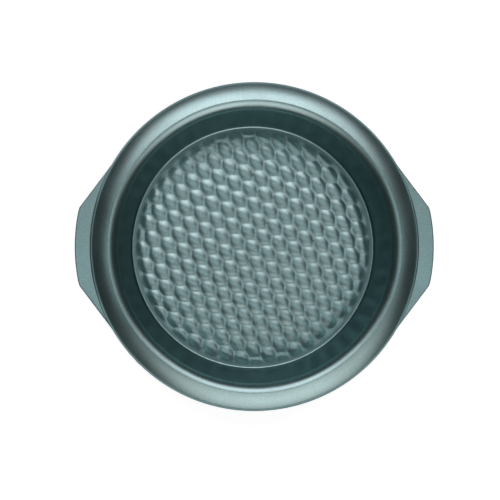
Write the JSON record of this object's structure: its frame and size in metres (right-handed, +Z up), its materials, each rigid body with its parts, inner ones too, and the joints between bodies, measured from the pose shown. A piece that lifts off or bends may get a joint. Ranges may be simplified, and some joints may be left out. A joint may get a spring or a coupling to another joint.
{
  "type": "round cake tin",
  "caption": "Shallow round baking tin pressed from coated sheet steel, with an embossed base, a drafted wall, a rolled-over rim and two flat handle tabs.",
  "frame": {"origin": "centre of the base's underside", "axes": "+Z up out of the open top, X through the two handle tabs, Y across them"},
  "size_m": [0.2916, 0.2664, 0.05],
  "materials": {
    "coated_steel": "satin"
  },
  "bodies": {
    "root": {"cake_tin": "coated_steel"}
  },
  "joints": []
}
